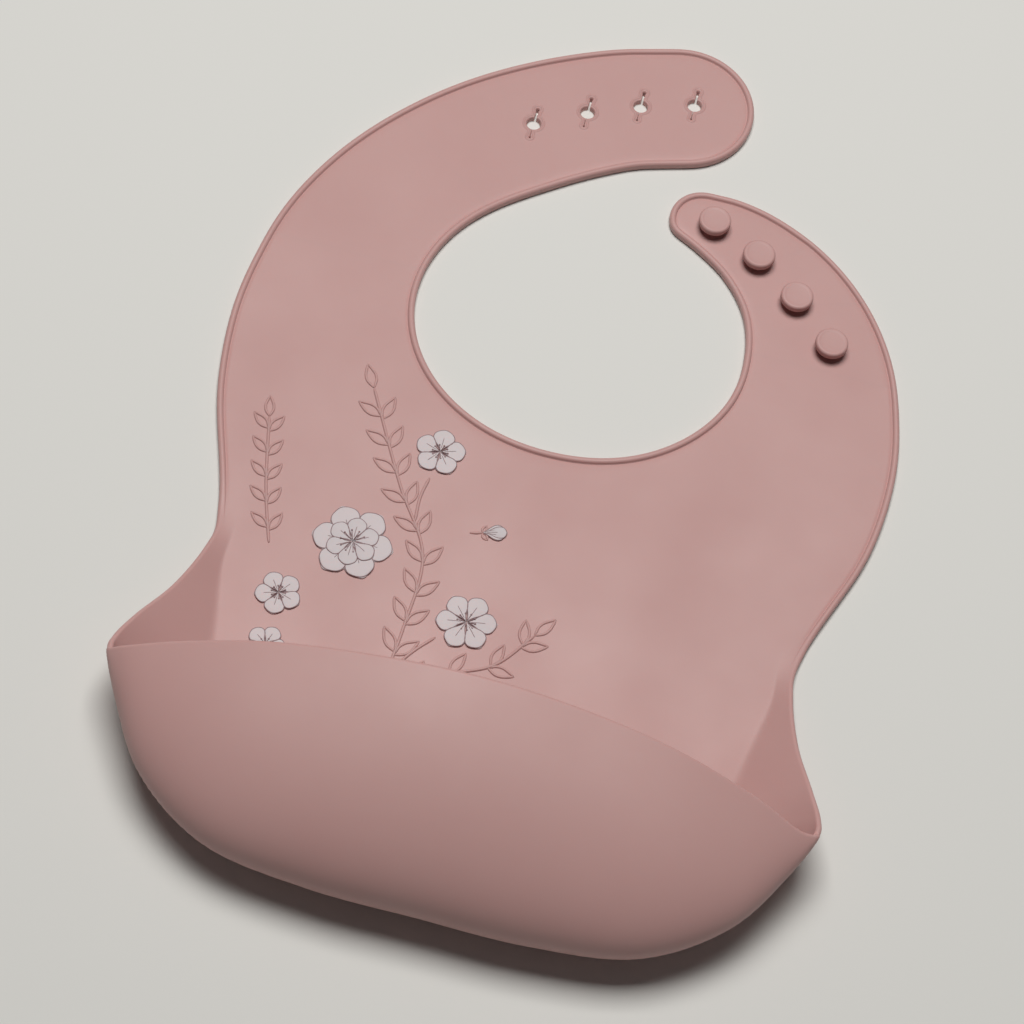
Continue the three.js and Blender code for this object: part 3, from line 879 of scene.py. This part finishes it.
class Petal:
    """One pale petal, fanning from its foot. heading and spread are in degrees."""

    def __init__(self, foot, heading, length, spread, level=0, curl=0, wave=0.05, phase=0):
        self.foot = np.array(foot, float)
        self.heading = heading
        self.length = length
        self.spread = spread
        self.level = level
        self.curl = curl
        self.wave = wave
        self.phase = phase

    def at(self, across, along):
        """Front points at shares across (-1 to 1) and along (0 to 1)."""
        tip = np.sqrt(1 - 0.9 * np.clip((along - 0.58) / 0.42, 0, 1) ** 2)
        widen = (0.5 + 0.5 * ease(along, 0, 0.6)) * tip * (1 + self.wave * np.sin(along * 8 + self.phase))
        angle = self.heading + self.curl * along + across * self.spread * widen
        ripple = 0.6 * self.wave * np.cos(across * 3.2 + self.phase) * along**2
        reach = self.length * along * (1 - 0.05 * across**2 + ripple)
        flat = self.foot + reach[..., None] * polar((0, 0), 1.0, angle)
        edge = np.minimum(1 - np.abs(across), (1 - along) * 1.3)
        rounding = 1 - (1 - np.clip(edge / 0.09, 0, 1)) ** 2
        crown = 0.16 * np.sin(np.pi * along) * (1 - across**2)
        up = PETAL_LIFT * (0.45 + 0.55 * rounding) + crown + LEVEL_STEP * self.level
        return np.dstack([flat, front_height(flat[..., 0], flat[..., 1]) + up])

    def line(self, relief, across, along, size, slot):
        points = self.at(np.array([across]), np.array([along]))[0]
        relief.rib(points[:, :2], *size, base=points[:, 2] - 0.02, slot=slot, step=0.3)

    def build(self, relief, veins=3):
        across, along = np.meshgrid(
            np.sin(np.linspace(-1, 1, PETAL_COLUMNS) * math.pi / 2),
            1 - (1 - np.linspace(0.02, 1, PETAL_ROWS)) ** 1.5,
            indexing="ij",
        )
        relief.slab(self.at(across, along), 0.55 + LEVEL_STEP * self.level)
        inset = 0.93
        climb = np.concatenate([np.linspace(0.08, 0.7, 7), [0.79, 0.87, 0.93]])
        across_tip = np.linspace(-inset, inset, 9)[1:-1]
        outline_across = np.concatenate([np.full(10, -inset), across_tip, np.full(10, inset)])
        outline_along = np.concatenate([climb, np.full(7, 0.965), climb[::-1]])
        self.line(relief, outline_across, outline_along, LINE, 1)
        for k in range(veins):
            place = (k - (veins - 1) / 2) * 0.42
            far = 0.62 - 0.1 * abs(k - (veins - 1) / 2)
            run = np.linspace(0.16, far, 5)
            self.line(relief, place * (0.55 + 0.6 * run), run, (0.2, 0.1), 1)


# Plain open flowers: rings of equal petals, as (petals, share of the radius, turn in degrees).
BLOOMS = {
    "bloom_large": [(6, 1.0, 0), (6, 0.66, 30)],
    "bloom_upper": [(5, 1.0, 18)],
    "bloom_left": [(5, 1.0, 54)],
    "bloom_lower": [(6, 1.0, 10)],
    "bloom_lip": [(5, 1.0, 0)],
}
BUD_HEADING = 15


def stamens(relief, centre, reach, level):
    """A ring of fine threads with dotted ends round a flower's centre."""
    base = front_height(*centre) + level
    for k in range(10):
        near, tip = (polar(centre, r, 36 * k) for r in (0.15 * reach, reach))
        relief.rib([near, (near + tip) / 2, tip], 0.2, 0.12, base=np.full(3, base), slot=1, step=0.3)
        relief.dome(tip, 0.27, 0.2, base=base, slot=1)


def inlay(name, relief, materials):
    piece = relief.made(name + "_inlay", materials)
    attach(piece, "panel")
    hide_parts(name)


def bloom(name, rings, materials):
    centre = middle(name)[:2]
    low, high = box_mm(name)
    radius = (high[0] - low[0]) / 2
    relief = Relief()
    level = 0
    for count, share, turn in rings:
        for k in range(count):
            heading = turn + 360 * k / count
            Petal(centre, heading, share * radius, 205 / count, level, wave=0.03).build(relief, 1)
            level += 0.5
    stamens(relief, centre, 0.3 * radius, PETAL_LIFT + LEVEL_STEP * level)
    inlay(name, relief, materials)


def bud_foot():
    low, high = box_mm("bud_loose")
    return polar(middle("bud_loose")[:2], -0.45 * (high[0] - low[0]), BUD_HEADING), high[0] - low[0]


def bud(materials):
    """A closed bud: two petals and a third over them."""
    foot, length = bud_foot()
    relief = Relief()
    for turn, share, level in ((16, 0.8, 0), (-16, 0.8, 0.5), (0, 0.88, 1)):
        Petal(foot, BUD_HEADING + turn, share * length, 24, level, curl=-turn / 2, wave=0.01).build(relief, 1)
    inlay("bud_loose", relief, materials)


def bud_sepals(material):
    """The pink stalk and sepals of the loose bud."""
    relief = Relief()
    foot, length = bud_foot()
    relief.rib([polar(foot, -r, BUD_HEADING) for r in (0.45 * length, 0.2 * length, 0)], *STEM)
    for turn in (-60, 60):
        leaf(relief, foot, polar(foot, 0.34 * length, BUD_HEADING + turn), 0.6)
    return relief.made("bud_sepals", [material])


# ---- Materials -----------------------------------------------------------------------------------


def linear(*shades):
    """An 8-bit screen colour as the linear colour that shaders take."""
    made = [(c / 255 / 12.92 if c <= 10 else ((c / 255 + 0.055) / 1.055) ** 2.4) for c in shades]
    return (*made, 1.0)


def silicone(name, colour, deeper, roughness, grain=0.02):
    """Matte moulded silicone: faint cloudy tint, a fine satin grain, and soft light inside it."""
    material = bpy.data.materials.new(name)
    material.use_nodes = True
    nodes, links = material.node_tree.nodes, material.node_tree.links
    shader = nodes["Principled BSDF"]
    place = nodes.new("ShaderNodeTexCoord")
    cloud = nodes.new("ShaderNodeTexNoise")
    cloud.inputs["Scale"].default_value = 28
    cloud.inputs["Detail"].default_value = 4
    tint = nodes.new("ShaderNodeMix")
    tint.data_type = "RGBA"
    tint.inputs["A"].default_value = colour
    tint.inputs["B"].default_value = deeper
    speck = nodes.new("ShaderNodeTexNoise")
    speck.inputs["Scale"].default_value = 2600
    speck.inputs["Detail"].default_value = 3
    ramp = nodes.new("ShaderNodeMapRange")
    ramp.inputs["From Min"].default_value = 0.3
    ramp.inputs["From Max"].default_value = 0.7
    ramp.inputs["To Min"].default_value = roughness - 0.05
    ramp.inputs["To Max"].default_value = roughness + 0.05
    bump = nodes.new("ShaderNodeBump")
    bump.inputs["Strength"].default_value = grain * 10
    bump.inputs["Distance"].default_value = 0.00002
    links.new(place.outputs["Object"], cloud.inputs["Vector"])
    links.new(place.outputs["Object"], speck.inputs["Vector"])
    links.new(cloud.outputs["Fac"], tint.inputs["Factor"])
    links.new(tint.outputs["Result"], shader.inputs["Base Color"])
    links.new(cloud.outputs["Fac"], ramp.inputs["Value"])
    links.new(ramp.outputs["Result"], shader.inputs["Roughness"])
    links.new(speck.outputs["Fac"], bump.inputs["Height"])
    links.new(bump.outputs["Normal"], shader.inputs["Normal"])
    shader.inputs["Specular IOR Level"].default_value = 0.4
    shader.inputs["Subsurface Weight"].default_value = 0.12
    shader.inputs["Subsurface Radius"].default_value = (1.0, 0.45, 0.35)
    shader.inputs["Subsurface Scale"].default_value = 0.002
    return material


def plain_floor():
    material = bpy.data.materials.new("floor")
    material.use_nodes = True
    shader = material.node_tree.nodes["Principled BSDF"]
    shader.inputs["Base Color"].default_value = linear(224, 223, 219)
    shader.inputs["Roughness"].default_value = 0.9
    shader.inputs["Specular IOR Level"].default_value = 0.2
    mesh = bpy.data.meshes.new("floor")
    mesh.from_pydata([(-2, -2, 0), (2, -2, 0), (2, 2, 0), (-2, 2, 0)], [], [(0, 1, 2, 3)])
    mesh.materials.append(material)
    floor = bpy.data.objects.new("floor", mesh)
    floor.location.z = CAD_BOX[0].z - 0.0001
    bpy.context.scene.collection.objects.link(floor)


# ---- Camera and light ----------------------------------------------------------------------------

CAMERA = {"elevation": 62.0, "turn": 4.89, "roll": 10.08, "distance": 0.7675, "lens": 92.6}
TARGET = Vector((-0.0048, -0.0238, 0.0))


def camera():
    data = bpy.data.cameras.new("camera")
    data.lens = CAMERA["lens"]
    data.sensor_width = 36
    data.clip_start = 0.01
    data.clip_end = 20
    thing = bpy.data.objects.new("camera", data)
    elevation, turn, roll = (math.radians(CAMERA[k]) for k in ("elevation", "turn", "roll"))
    back = Vector((
        math.sin(turn) * math.cos(elevation),
        -math.cos(turn) * math.cos(elevation),
        math.sin(elevation),
    ))
    right = (-back).cross(Vector((0, 0, 1))).normalized()
    up = back.cross(right)
    across = right * math.cos(roll) + up * math.sin(roll)
    upright = back.cross(across)
    thing.matrix_world = Matrix.Translation(TARGET + back * CAMERA["distance"]) @ Matrix(
        (across, upright, back)).transposed().to_4x4()
    bpy.context.scene.collection.objects.link(thing)
    bpy.context.scene.camera = thing


def area_light(name, place, aim, size, power, colour=(1, 1, 1)):
    data = bpy.data.lights.new(name, "AREA")
    data.shape = "RECTANGLE"
    data.size, data.size_y = size
    data.energy = power
    data.color = colour
    thing = bpy.data.objects.new(name, data)
    thing.location = place
    thing.rotation_mode = "QUATERNION"
    thing.rotation_quaternion = (Vector(aim) - Vector(place)).to_track_quat("-Z", "Y")
    bpy.context.scene.collection.objects.link(thing)


def lights():
    world = bpy.data.worlds.new("studio")
    world.use_nodes = True
    world.node_tree.nodes["Background"].inputs["Color"].default_value = (0.93, 0.96, 1.0, 1)
    world.node_tree.nodes["Background"].inputs["Strength"].default_value = 0.05
    bpy.context.scene.world = world
    area_light("window", (-0.08, 0.34, 1.4), (0, 0, 0), (0.8, 0.6), 18.8, (1.0, 0.99, 0.97))
    bpy.context.scene.view_settings.view_transform = "Standard"


# ---- The bib -------------------------------------------------------------------------------------

camera()
lights()
plain_floor()
PINK = silicone("pink_silicone", linear(199, 158, 154), linear(192, 149, 145), 0.5)
body = bib_body(PINK)
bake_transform(body)
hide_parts("chest_panel", "pocket_wing_left", "pocket_wing_right", "pocket_base", "pocket_front")
strap_pieces(HOLE_STRAP, "hole", [keyhole_outline(np.array(c)) for c in KEYHOLES], PINK)
strap_pieces(STUD_STRAP, "stud", [], PINK)
LINE_TINT = silicone("petal_line", linear(158, 130, 132), linear(150, 122, 124), 0.6)
PALE = silicone("pale_silicone", linear(214, 202, 203), linear(208, 195, 197), 0.6)
for node, rings in BLOOMS.items():
    bloom(node, rings, [PALE, LINE_TINT])
bud([PALE, LINE_TINT])
for node in SPRIGS:
    piece = sprig(node, PINK)
    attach(piece, "panel")
    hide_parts(node)
sepals = bud_sepals(PINK)
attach(sepals, "panel")
for name, home in (
    ("stud_4", "panel"), ("stud_3", "stud_strap_shoulder"),
    ("stud_2", "stud_strap_middle"), ("stud_1", "stud_strap_end"),
):
    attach(stud(name, PINK), home)
